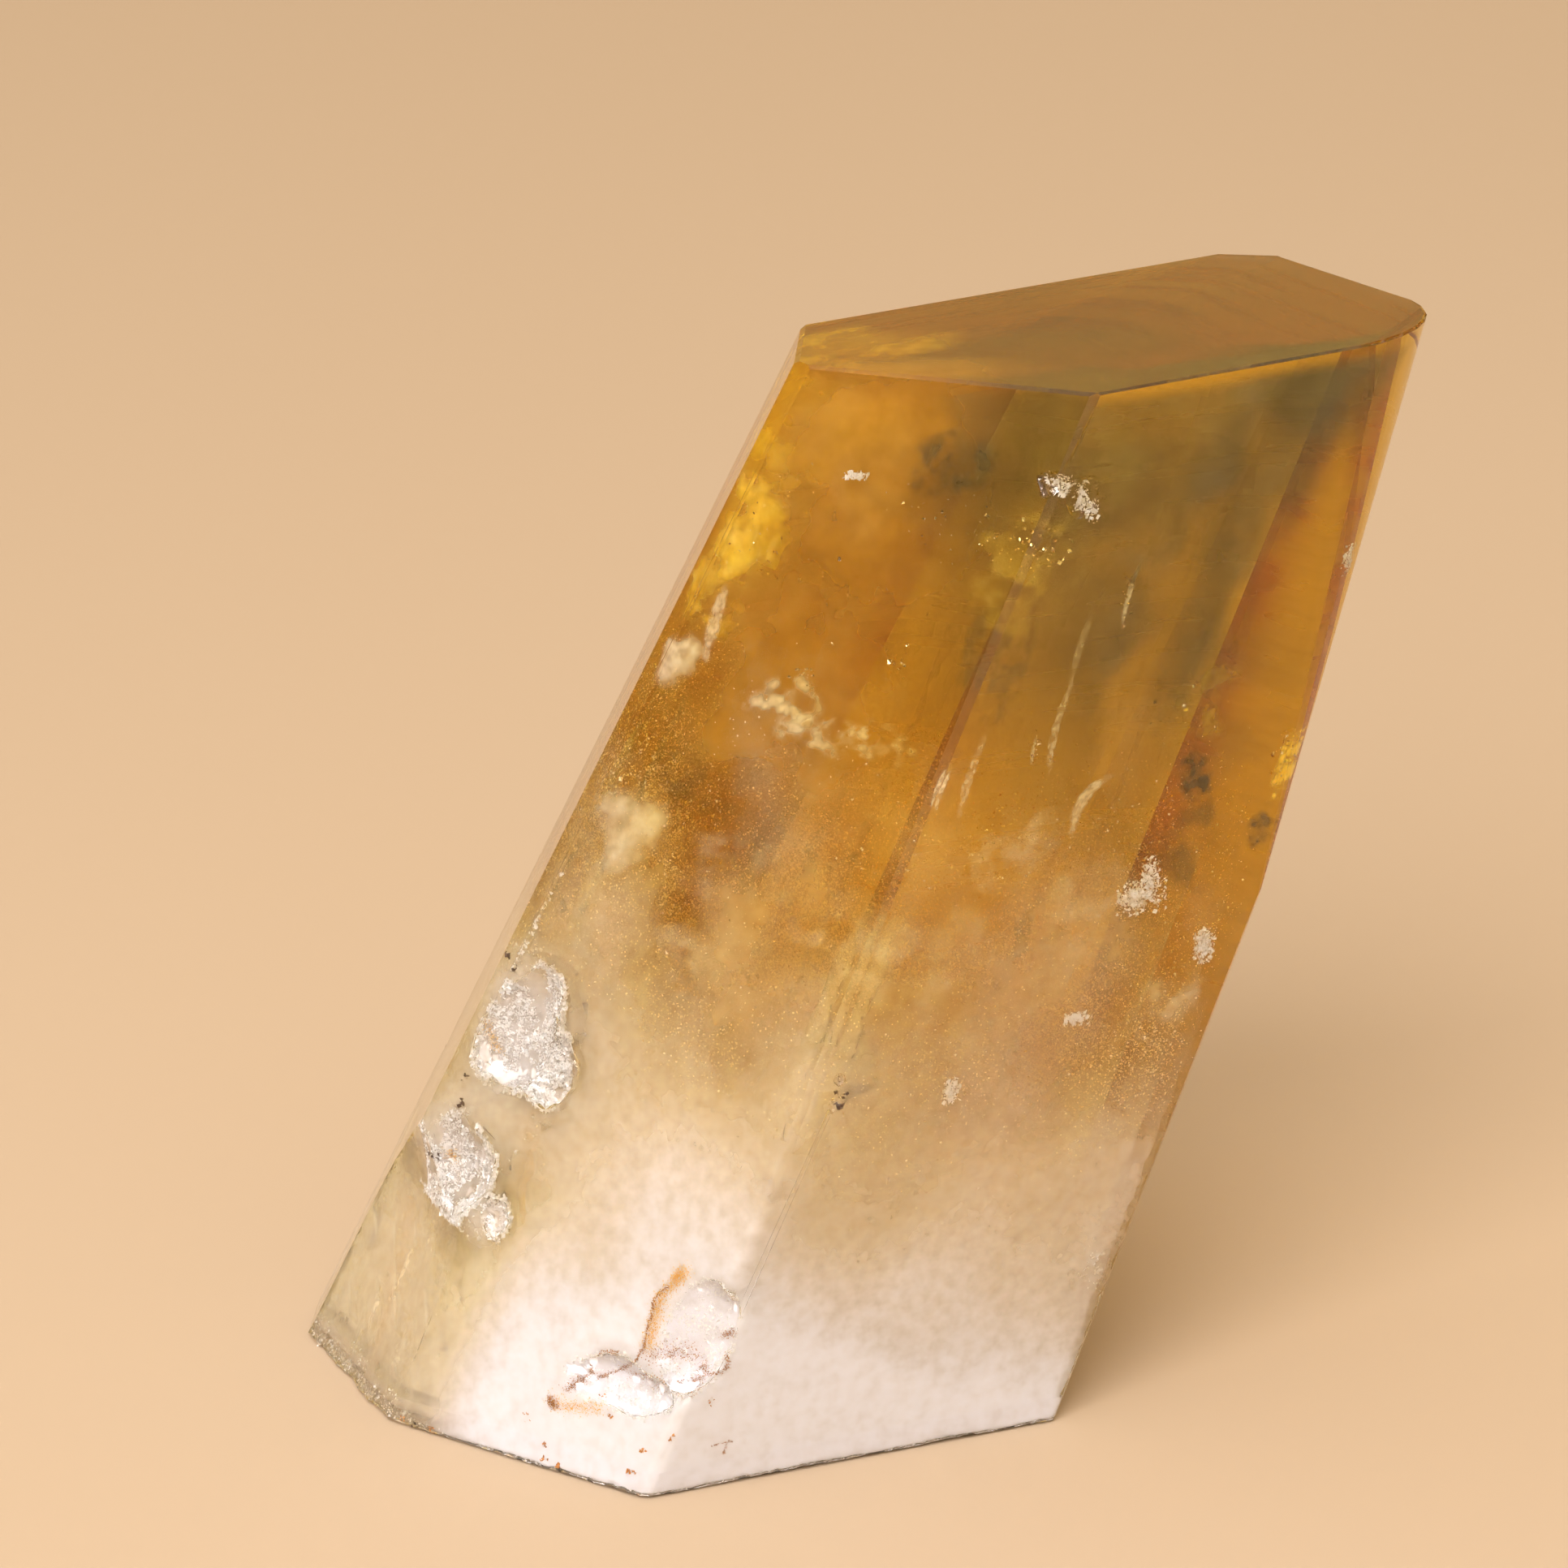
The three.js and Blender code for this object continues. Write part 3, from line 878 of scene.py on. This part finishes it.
def veil(u, v, depth, width, height, turn, bend, cover, torn):
    """A curved patch that faces the camera: its vertices, faces, cover and step. Sizes in mm."""
    middle, inwards = spot_inside(u, v, depth)
    up = (Vector((0, 0, 1)) - inwards * inwards.z).normalized()
    side = inwards.cross(up)
    angle = math.radians(turn)
    across = side * math.cos(angle) + up * math.sin(angle)
    along = up * math.cos(angle) - side * math.sin(angle)
    columns = max(VEIL_STEPS[0], round(width / LARGEST_STEP))
    rows = max(VEIL_STEPS[1], round(height / LARGEST_STEP))
    s, t = (axis.ravel() for axis in np.meshgrid(np.linspace(-1, 1, columns), np.linspace(-1, 1, rows)))
    flat = np.outer(s * width / 2 + bend * width * t * t, across) + np.outer(t * height / 2, along)
    uneven = cloud_noise(np.stack([s * 3 + u, t * 3 + v, 0 * s], 1), 1.0, 3) - 0.5
    ripple = 0.12 * min(width, height) * uneven
    swell = 0.10 * min(width, height) * (1 - s * s - t * t)
    places = np.array(middle) + (flat + np.outer(ripple - swell, inwards)) * MM
    tear = cloud_noise(places, 0.25 * min(width, height) * MM, 3)
    rim = smooth_step(0, 0.55, 1 - np.sqrt(s * s + t * t) + 0.9 * torn * (tear - 0.5))
    rim = rim * smooth_step(0, 0.15, 1 - np.maximum(abs(s), abs(t)))
    shown = cover * rim * (1 - torn + torn * smooth_step(0.38, 0.66, tear) * 1.6)
    faces = [
        (row * columns + c, row * columns + c + 1, (row + 1) * columns + c + 1, (row + 1) * columns + c)
        for row in range(rows - 1)
        for c in range(columns - 1)
    ]
    return places, faces, shown, max(width / columns, height / rows)


print("steps of a veil, at least:", VEIL_STEPS)


# %% Veils as one piece
def veils_piece(name, veils, material):
    """One piece made of all the veils in a list. Faces with nothing to show are left out."""
    vertices, faces, cover = [], [], []
    for values in veils:
        places, part_faces, shown, step = veil(*values)
        room = np.array([depth_below(place) for place in places]) / MM
        shown = shown * smooth_step(step, step + min(1.8, 0.2 + 0.1 * min(values[3:5])), room)
        sound = room > 0.08
        kept = [f for f in part_faces if all(sound[i] for i in f) and max(shown[i] for i in f) > 0.02]
        used = sorted({i for f in kept for i in f})
        renumber = {old: new + len(vertices) for new, old in enumerate(used)}
        faces += [tuple(renumber[i] for i in f) for f in kept]
        vertices += places[used].tolist()
        cover += (-np.log(1 - np.minimum(shown[used], 0.97))).tolist()
    return add_piece(name, vertices, faces, material, cover=cover)


# %% [markdown]
# Every veil has a line of its own: the spot in the photograph, its depth, width and height in mm, its turn in
# degrees, how much it bends, how much it covers and how torn it is. First come the pale ones: two lenses near
# the left edge, whose pale colour is painted reflection of the light their cracks throw back, streaks along
# the splintered break, wisps at the right, and a wide last one of painted light that whitens the shaded grey
# of the milk at the lower right.

# %% Pale veils and painted light
PALE_VEILS_AND_PAINTED_LIGHT = [
    # The first two lines are lens cracks whose pale colour is painted reflection of the light they throw
    # back.
    (756, 1026, 2.2, 15.0, 9.0, 24, 0.0, 0.7, 0.25),
    (832, 815, 2.2, 8.5, 5.0, 34, 0.0, 0.7, 0.3),
    (880, 768, 2.0, 1.8, 9.0, -14, 0.1, 0.45, 0.4),
    (470, 1600, 1.6, 2.4, 12.0, -24, 0.1, 0.5, 0.8),
    (500, 1560, 1.2, 1.6, 10.0, -22, 0.1, 0.55, 0.8),
    (448, 1640, 1.4, 1.4, 8.0, -26, 0.1, 0.5, 0.8),
    (530, 1520, 1.2, 1.8, 9.0, -20, 0.1, 0.55, 0.8),
    (492, 1660, 1.2, 1.4, 9.0, -20, 0.1, 0.5, 0.8),
    (960, 872, 4.0, 10.0, 7.0, 20, 0.1, 0.45, 0.9),
    (1040, 910, 5.0, 18.0, 5.0, -4, 0.1, 0.32, 0.95),
    (1335, 985, 2.5, 1.6, 8.0, -35, 0.9, 0.5, 0.4),
    (1300, 900, 3.0, 1.0, 10.0, -12, 0.6, 0.3, 0.6),
    (1195, 955, 2.5, 1.2, 10.0, -16, 0.4, 0.3, 0.6),
    (1160, 975, 2.0, 0.7, 5.0, -20, 0.3, 0.4, 0.4),
    (1392, 730, 3.0, 0.7, 8.0, -15, 0.5, 0.5, 0.3),
    (1273, 925, 3.0, 0.5, 3.6, -8, 0.2, 0.5, 0.3),
    (1330, 800, 4.0, 0.9, 14.0, -16, 0.8, 0.2, 0.6),
    (1240, 1060, 3.0, 10.0, 14.0, -20, 0.2, 0.16, 0.9),
    (1330, 1120, 3.0, 10.0, 16.0, -18, 0.2, 0.16, 0.9),
    (1430, 1260, 2.5, 9.0, 16.0, -22, 0.2, 0.22, 0.9),
    (1180, 1190, 3.5, 14.0, 14.0, -10, 0.1, 0.13, 0.9),
    (900, 1070, 3.0, 24.0, 8.0, 5, 0.1, 0.13, 0.95),
    (830, 1190, 2.5, 22.0, 9.0, 8, 0.1, 0.16, 0.95),
    (1020, 1160, 3.5, 18.0, 12.0, 0, 0.1, 0.14, 0.95),
    # Painted light: this wide sheet whitens the shaded grey of the milk at the lower right.
    (1310, 1490, 2.0, 36.0, 20.0, -10, 0.0, 0.36, 0.3),
]
# Pale tones: the cracks' own colour, and painted reflection and painted light for the lenses and the last
# wide sheet.
pale_and_painted_light_tones = mottled(
    "veil_pale_and_painted_light",
    light=(1.0, 0.95, 0.84, 1),
    dark=(0.95, 0.82, 0.60, 1),
    rough=(0.35, 0.5),
    scale=700.0,
    cloud=((1.0, 0.90, 0.72, 1), 0.4),
)
pale_and_painted_light_veils = veils_piece("pale_and_painted_light_veils", PALE_VEILS_AND_PAINTED_LIGHT, pale_and_painted_light_tones)

# %% [markdown]
# Golden veils are painted glow: golden sheets that stand in for the light thrown back inside at the left
# edge, glowing through the top and along the right edge. Smoky veils are painted shade: dark sheets put where
# the crystal shows shade and dark refraction, where little light comes back.

# %% Golden painted glow
# Painted glow: golden sheets for the light thrown back inside at the left edge, under the top and along the
# right edge.
GOLDEN_PAINTED_GLOW = [
    (935, 650, 6.0, 14.0, 20.0, -18, 0.05, 0.6, 0.6),
    (880, 740, 5.0, 8.0, 12.0, -18, 0.05, 0.5, 0.8),
    (1040, 428, 14.0, 26.0, 16.0, 0, 0.0, 0.5, 0.5),
    (1588, 940, 3.0, 2.2, 9.0, -18, 0.1, 0.7, 0.6),
    (1235, 690, 5.0, 8.0, 14.0, -20, 0.1, 0.15, 0.95),
    (1480, 860, 6.0, 8.0, 9.0, -18, 0.1, 0.35, 0.95),
]
# The golden tones are painted glow.
golden_painted_glow_tones = mottled(
    "veil_golden_painted_glow",
    light=(1.0, 0.74, 0.06, 1),
    dark=(1.0, 0.62, 0.02, 1),
    rough=(0.3, 0.5),
    scale=700.0,
    cloud=((1.0, 0.70, 0.05, 1), 0.3),
)
golden_painted_glow_veils = veils_piece("golden_painted_glow_veils", GOLDEN_PAINTED_GLOW, golden_painted_glow_tones)

# %% Smoky painted shade
# Painted shade: dark sheets under the top and behind the right face where the crystal shows shade and dark
# refraction.
SMOKY_PAINTED_SHADE = [
    (1290, 430, 16.0, 34.0, 18.0, 4, 0.0, 0.45, 0.2),
    (1175, 570, 6.0, 14.0, 7.0, 18, 0.0, 0.62, 0.6),
    (1120, 620, 8.0, 12.0, 5.0, -6, 0.1, 0.5, 0.8),
    (1472, 958, 4.0, 4.4, 6.0, 12, 0.0, 0.75, 0.5),
    (1552, 1022, 3.0, 3.4, 4.6, -18, 0.0, 0.65, 0.5),
    (1240, 820, 6.0, 5.0, 14.0, -18, 0.1, 0.35, 0.7),
    (1480, 1040, 6.0, 9.0, 12.0, -18, 0.0, 0.35, 0.8),
    (880, 960, 7.0, 16.0, 8.0, 0, 0.0, 0.35, 0.8),
]
# The smoky tones are painted shade.
smoky_painted_shade_tones = mottled(
    "veil_smoky_painted_shade",
    light=(0.10, 0.055, 0.008, 1),
    dark=(0.14, 0.08, 0.012, 1),
    rough=(0.5, 0.7),
    scale=700.0,
    cloud=((0.12, 0.07, 0.01, 1), 0.12),
)
smoky_painted_shade_veils = veils_piece("smoky_painted_shade_veils", SMOKY_PAINTED_SHADE, smoky_painted_shade_tones)

# %% [markdown]
# Three wide, faint sheets give the large faces their even colour: amber painted light behind the left one and
# olive painted shade behind the right one, which stand in for the lit and shaded surroundings seen through
# these faces, and a warm bloom around the scars. They are veils too, only larger.

# %% Amber painted light
# Painted light: amber sheets for the lit surroundings seen through the left face.
AMBER_PAINTED_LIGHT = [
    (1095, 600, 9.0, 36.0, 36.0, -18, 0.0, 0.7, 0.12),
    (980, 830, 9.0, 38.0, 38.0, -18, 0.0, 0.6, 0.2),
]
# The amber tones are painted light.
amber_painted_light_tones = mottled(
    "veil_amber_painted_light",
    light=(0.58, 0.29, 0.006, 1),
    dark=(0.48, 0.23, 0.005, 1),
    rough=(0.5, 0.7),
    scale=300.0,
    cloud=((0.54, 0.27, 0.006, 1), 0.2),
)
amber_painted_light_veils = veils_piece("amber_painted_light_veils", AMBER_PAINTED_LIGHT, amber_painted_light_tones)

# %% Olive painted shade
# Painted shade: olive sheets for the shaded surroundings seen through the right face.
OLIVE_PAINTED_SHADE = [
    (1500, 600, 9.0, 66.0, 74.0, -16, 0.0, 0.7, 0.1),
    (1410, 900, 9.0, 52.0, 42.0, -16, 0.0, 0.35, 0.2),
    (1610, 640, 4.5, 32.0, 72.0, -17, 0.0, 0.75, 0.1),
]
# The olive tones are painted shade.
olive_painted_shade_tones = mottled(
    "veil_olive_painted_shade",
    light=(0.10, 0.072, 0.001, 1),
    dark=(0.08, 0.058, 0.001, 1),
    rough=(0.5, 0.7),
    scale=300.0,
    cloud=((0.09, 0.065, 0.001, 1), 0.1),
)
olive_painted_shade_veils = veils_piece("olive_painted_shade_veils", OLIVE_PAINTED_SHADE, olive_painted_shade_tones)

# %% Warm bloom
WARM_VEILS = [
    (600, 1400, 3.0, 30.0, 30.0, -20, 0.0, 0.6, 0.3),
    (470, 1600, 2.5, 16.0, 34.0, -24, 0.0, 0.6, 0.3),
    (640, 1170, 3.0, 22.0, 26.0, -20, 0.0, 0.4, 0.6),
    (930, 1040, 4.0, 46.0, 28.0, 5, 0.0, 0.26, 0.3),
    (860, 1180, 3.5, 42.0, 22.0, 5, 0.0, 0.32, 0.3),
]
warm_veil = mottled(
    "veil_warm",
    light=(1.0, 0.80, 0.56, 1),
    dark=(0.97, 0.72, 0.44, 1),
    rough=(0.5, 0.7),
    scale=500.0,
    cloud=((1.0, 0.76, 0.50, 1), 0.2),
)
warm_veils = veils_piece("warm_veils", WARM_VEILS, warm_veil)

# %% [markdown]
# ## Rust
# Iron has left brown grains and a yellow stain in the hollow at the foot and along the lower rim.
# The stain is a band of very fine grains just under the surface, along a line of spots. The larger
# specks are lumps of their own. Each line has its spots in the photograph, its number of grains and
# its spread in pixels. Each speck has its spot and its size in mm.

# %% Where the rust is
YELLOW_LINES = [
    ([(845, 1563), (836, 1574), (826, 1586), (812, 1600), (808, 1622), (802, 1642), (798, 1662)], 1500, 5.0),
    ([(840, 1568), (832, 1578)], 300, 4.0),
    ([(678, 1722), (690, 1731), (712, 1736), (745, 1733)], 500, 5.0),
    ([(598, 1258), (604, 1276), (616, 1296)], 260, 3.5),
    ([(552, 1420), (562, 1425)], 120, 4.0),
]
BROWN_LINES = [
    ([(823, 1585), (806, 1600), (803, 1620), (797, 1640), (793, 1660), (783, 1677)], 420, 1.2),
    ([(783, 1677), (762, 1689), (735, 1698)], 260, 1.6),
    ([(762, 1666), (744, 1665), (731, 1675), (728, 1690), (716, 1702), (698, 1712)], 320, 1.5),
    ([(676, 1722), (684, 1734)], 240, 3.0),
    ([(698, 1712), (727, 1692)], 260, 4.0),
    ([(867, 1678), (868, 1690), (860, 1703), (848, 1712), (834, 1704)], 620, 4.0),
    ([(895, 1668), (898, 1682), (888, 1692), (870, 1693)], 200, 1.5),
    ([(905, 1641), (890, 1646)], 120, 2.5),
    ([(800, 1672), (830, 1664), (858, 1668)], 360, 6.0),
    ([(770, 1690), (800, 1700), (822, 1709)], 240, 5.0),
    ([(875, 1782), (890, 1778), (902, 1775)], 40, 0.8),
    ([(895, 1780), (891, 1792)], 30, 0.8),
]
RUST_SPECKS = [
    (688, 1806, 0.5),
    (673, 1781, 0.35),
    (671, 1799, 0.4),
    (778, 1812, 0.6),
    (792, 1786, 0.45),
    (828, 1772, 0.45),
    (752, 1744, 0.3),
    (743, 1721, 0.3),
    (648, 1745, 0.35),
    (877, 1725, 0.3),
    (490, 1755, 0.4),
    (520, 1770, 0.3),
]
DARK_SPECKS = [
    (628, 1179, 0.6),
    (632, 1192, 0.4),
    (575, 1327, 0.4),
    (568, 1358, 0.6),
    (531, 1424, 0.5),
    (538, 1426, 0.5),
    (505, 1758, 0.4),
    (1035, 1330, 0.6),
    (1031, 1345, 0.5),
    (1033, 1362, 0.8),
    (1040, 1352, 0.5),
]
print("stain lines:", len(YELLOW_LINES) + len(BROWN_LINES), "specks:", len(RUST_SPECKS) + len(DARK_SPECKS))


# %% Rust along lines
STAIN_DEPTH = 0.07


def along_line(spots, share):
    """The spot at a share of the way along a line of spots."""
    steps = np.array(spots, dtype=float)
    lengths = np.linalg.norm(np.diff(steps, axis=0), axis=1)
    ways = np.concatenate([[0], np.cumsum(lengths)]) / lengths.sum()
    return np.stack([np.interp(share, ways, steps[:, 0]), np.interp(share, ways, steps[:, 1])], 1)


def lines_piece(name, lines, material, seed):
    """Fine grains just under the surface, along each line of a list."""
    chance = np.random.default_rng(seed)
    spots = [
        along_line(line, chance.random(count)) + chance.normal(scale=spread, size=(count, 2))
        for line, count, spread in lines
    ]
    places = np.array([spot_inside(u, v, STAIN_DEPTH)[0] for u, v in np.concatenate(spots)])
    sizes = (0.04 + 0.08 * chance.random(len(places))) * MM
    kept = fits_inside(places, 0.3 * sizes)
    vertices, faces = plates(places[kept], sizes[kept], 0.4, seed + 1)
    return add_piece(name, vertices, faces, material, smooth=False)


stain_yellow = mottled("stain_yellow", (0.95, 0.70, 0.26, 1), (0.88, 0.52, 0.12, 1), (0.6, 0.9), 1800.0)
rust_brown = mottled("rust_brown", (0.62, 0.28, 0.08, 1), (0.36, 0.13, 0.03, 1), (0.6, 0.95), 1800.0)
yellow_stain = lines_piece("yellow_stain", YELLOW_LINES, stain_yellow, 41)
brown_stain = lines_piece("brown_stain", BROWN_LINES, rust_brown, 43)

# %% Rust and dirt in specks
SPECK_LUMPS = 6
SPECK_DEPTH = 0.03
SPECK_SPREAD = 2.6


def specks_piece(name, specks, material, seed):
    """Each speck is a small heap of lumps."""
    chance = np.random.default_rng(seed)
    heap = np.repeat(np.array(specks), SPECK_LUMPS, axis=0)
    spots = heap[:, :2] + chance.normal(scale=SPECK_SPREAD, size=(len(heap), 2))
    places = np.array([spot_inside(u, v, SPECK_DEPTH)[0] for u, v in spots])
    sizes = heap[:, 2] * MM * (0.3 + 0.5 * chance.random(len(heap)))
    kept = fits_inside(places, 0 * sizes)
    vertices, faces = plates(places[kept], sizes[kept], 0.3, seed + 1)
    return add_piece(name, vertices, faces, material, smooth=False)


speck_dark = mottled("speck_dark", (0.12, 0.07, 0.04, 1), (0.04, 0.02, 0.01, 1), (0.5, 0.9), 1800.0)
rust_specks = specks_piece("rust_specks", RUST_SPECKS, rust_brown, 45)
dark_specks = specks_piece("dark_specks", DARK_SPECKS, speck_dark, 47)

# %% [markdown]
# ## Floor and light
# The crystal stands on a plain pale floor. A large soft lamp shines from the upper left in front, so
# the shadow falls to the right and back. Most of the light comes from a soft dome all around, which
# is brighter towards the lamp, because clear things only look clear when there is something to see
# in and through them.

# %% Floor
FLOOR_COLOUR = (0.48, 0.36, 0.24, 1)
FLOOR_HALF = 3.0

floor_mesh = bpy.data.meshes.new("floor")
floor_corners = [(x * FLOOR_HALF, y * FLOOR_HALF, 0) for x, y in ((-1, -1), (1, -1), (1, 1), (-1, 1))]
floor_mesh.from_pydata(floor_corners, [], [(0, 1, 2, 3)])
floor = bpy.data.objects.new("floor", floor_mesh)
bpy.context.collection.objects.link(floor)
pale, tree, output = new_material("floor_pale")
matt_floor = node(tree, "ShaderNodeBsdfPrincipled", Base_Color=FLOOR_COLOUR, Roughness=0.9)
tree.links.new(matt_floor.outputs["BSDF"], output.inputs["Surface"])
floor_mesh.materials.append(pale)
print("floor:", 2 * FLOOR_HALF, "m across")

# %% Lamp
LAMP_PLACE = Vector((-0.24, -1.28, 1.10))
LAMP_AIM = Vector((0, 0, 0.05))
LAMP_SIDE = 1.1
LAMP_WATTS = 38
LAMP_COLOUR = (1.0, 0.965, 0.97)

lamp = bpy.data.objects.new("lamp", bpy.data.lights.new("lamp", "AREA"))
lamp.data.shape = "DISK"
lamp.data.size = LAMP_SIDE
lamp.data.energy = LAMP_WATTS
lamp.data.color = LAMP_COLOUR
lamp.location = LAMP_PLACE
lamp.rotation_euler = (LAMP_AIM - LAMP_PLACE).to_track_quat("-Z", "Y").to_euler()
bpy.context.collection.objects.link(lamp)
print("lamp:", LAMP_WATTS, "W,", LAMP_SIDE, "m across")

# %% Dome
DOME_BRIGHT = (1.45, 1.4, 1.42, 1)
DOME_DIM = (0.72, 0.47, 0.14, 1)
DOME_BEHIND = (0.64, 0.42, 0.14, 1)
DOME_TOWARDS = (-0.25, -0.40, 0.88)

world = bpy.data.worlds.new("soft_dome")
bpy.context.scene.world = world
world.use_nodes = True
tree = world.node_tree
tree.nodes.clear()
output = node(tree, "ShaderNodeOutputWorld")
towards = node(tree, "ShaderNodeTexCoord").outputs["Generated"]
beside_lamp = node(
    tree, "ShaderNodeVectorMath", {"operation": "DOT_PRODUCT"}, _0=towards, _1=DOME_TOWARDS
).outputs["Value"]
share = node(tree, "ShaderNodeMapRange", Value=beside_lamp, From_Min=0.4, From_Max=1.0).outputs["Result"]
blend = node(
    tree, "ShaderNodeMix", {"data_type": "RGBA"}, _0=share, _6=DOME_DIM, _7=DOME_BRIGHT
).outputs[2]
away = node(tree, "ShaderNodeSeparateXYZ", Vector=towards).outputs["Y"]
behind = node(tree, "ShaderNodeMapRange", Value=away, From_Min=0.4, From_Max=0.95).outputs["Result"]
whole = node(
    tree, "ShaderNodeMix", {"data_type": "RGBA"}, _0=behind, _6=blend, _7=DOME_BEHIND
).outputs[2]
dome = node(tree, "ShaderNodeBackground", Color=whole, Strength=1.0)
tree.links.new(dome.outputs["Background"], output.inputs["Surface"])
print("dome nodes:", len(tree.nodes))

# %% [markdown]
# Light that reaches the milk has to find its way in through the faces, so the paths may be long.

# %% Paths and colours
scene = bpy.context.scene
scene.cycles.max_bounces = 16
scene.cycles.diffuse_bounces = 9
scene.cycles.glossy_bounces = 8
scene.cycles.transmission_bounces = 12
scene.cycles.transparent_max_bounces = 16
scene.cycles.sample_clamp_indirect = 12
scene.cycles.use_adaptive_sampling = True
scene.cycles.adaptive_threshold = 0.5
scene.cycles.use_denoising = True
scene.view_settings.view_transform = "Standard"
print("longest path:", scene.cycles.max_bounces, "bounces")

# %% [markdown]
# ## The solid's box
# The visible pieces are kept inside the solid's own box, and that box is printed. The
# visible pieces have to stay within the solid's own box.

# %% Finish
def plain(box):
    """A box as plain lists of numbers."""
    return [[float(value) for value in corner] for corner in box]


print("box of the solid:", plain(cad_box))
